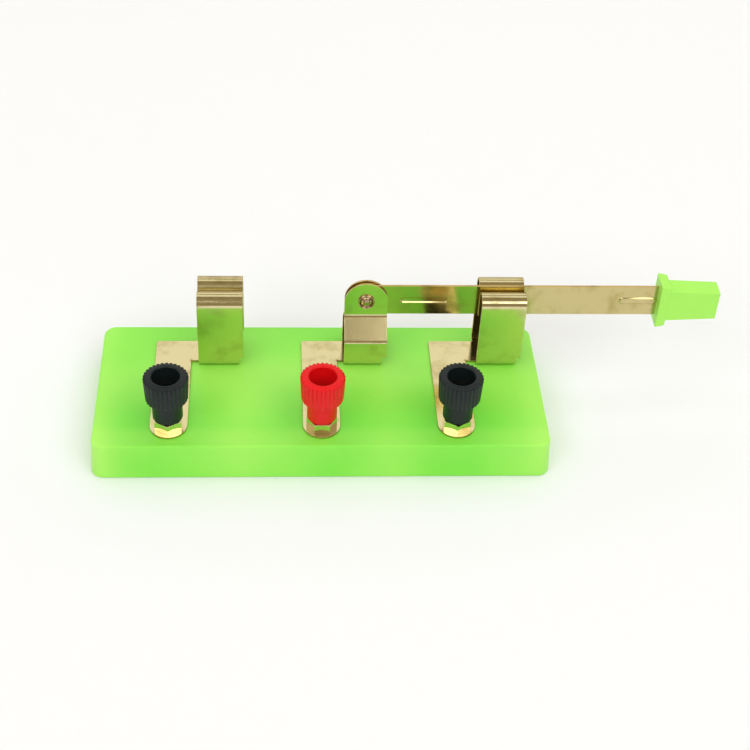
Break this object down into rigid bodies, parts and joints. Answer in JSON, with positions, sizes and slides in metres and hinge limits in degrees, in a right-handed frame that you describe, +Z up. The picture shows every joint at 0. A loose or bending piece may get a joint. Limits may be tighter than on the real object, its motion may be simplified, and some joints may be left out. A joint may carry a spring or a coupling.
{
  "type": "knife blade switch",
  "caption": "Teaching knife switch: a hinged brass blade with a plastic handle swings from one spring jaw over to the other, on a plastic base with screw-cap binding posts.",
  "frame": {"origin": "middle of the base's underside, on the plane of its rim and ribs", "axes": "+X along the base towards the closed blade's handle, +Y towards the blade side, +Z up"},
  "size_m": [0.155, 0.046, 0.0331],
  "materials": {
    "base_plastic": "semi-gloss moulded",
    "handle_plastic": "semi-gloss moulded",
    "contact_brass": "bright rolled sheet",
    "blade_brass": "bright rolled sheet",
    "post_brass": "turned, bright",
    "rivet_brass": "cold headed",
    "washer_steel": "zinc plated",
    "cap_red": "satin moulded",
    "cap_black": "satin moulded"
  },
  "bodies": {
    "switch_base": {"base": "base_plastic", "contact_left": "contact_brass", "contact_rivet_left": "rivet_brass", "stud_left": "post_brass", "washer_left": "washer_steel", "hex_nut_left": "post_brass", "contact_centre": "contact_brass", "contact_rivet_centre": "rivet_brass", "stud_centre": "post_brass", "washer_centre": "washer_steel", "hex_nut_centre": "post_brass", "contact_right": "contact_brass", "contact_rivet_right": "rivet_brass", "stud_right": "post_brass", "washer_right": "washer_steel", "hex_nut_right": "post_brass", "pivot_rivet": "rivet_brass"},
    "knife": {"blade": "blade_brass", "handle": "handle_plastic"},
    "thread_left": {"insert_left": "post_brass"},
    "knob_left": {"cap_left": "cap_black"},
    "thread_centre": {"insert_centre": "post_brass"},
    "knob_centre": {"cap_centre": "cap_red"},
    "thread_right": {"insert_right": "post_brass"},
    "knob_right": {"cap_right": "cap_black"}
  },
  "joints": [
    {"name": "knife_swing", "type": "hinge", "parent": "switch_base", "child": "knife", "pos_m": [0.0112, 0.0124, 0.02683], "axis": [0, -1, 0], "range_deg": [0, 180]},
    {"name": "cap_lift_left", "type": "slide", "parent": "switch_base", "child": "thread_left", "axis": [0, 0, 1], "range_m": [0, 0.0036]},
    {"name": "cap_turn_left", "type": "hinge", "parent": "thread_left", "child": "knob_left", "pos_m": [-0.0369, -0.0155, 0.01331], "axis": [0, 0, 1], "range_deg": [0, 2160]},
    {"name": "cap_lift_centre", "type": "slide", "parent": "switch_base", "child": "thread_centre", "axis": [0, 0, 1], "range_m": [0, 0.0036]},
    {"name": "cap_turn_centre", "type": "hinge", "parent": "thread_centre", "child": "knob_centre", "pos_m": [-0.0002, -0.0155, 0.01331], "axis": [0, 0, 1], "range_deg": [0, 2160]},
    {"name": "cap_lift_right", "type": "slide", "parent": "switch_base", "child": "thread_right", "axis": [0, 0, 1], "range_m": [0, 0.0036]},
    {"name": "cap_turn_right", "type": "hinge", "parent": "thread_right", "child": "knob_right", "pos_m": [0.0325, -0.0155, 0.01331], "axis": [0, 0, 1], "range_deg": [0, 2160]}
  ],
  "couplings": [
    {"joint": "cap_turn_left", "follows": "cap_lift_left", "rad_per_m": 10472},
    {"joint": "cap_turn_centre", "follows": "cap_lift_centre", "rad_per_m": 10472},
    {"joint": "cap_turn_right", "follows": "cap_lift_right", "rad_per_m": 10472}
  ]
}
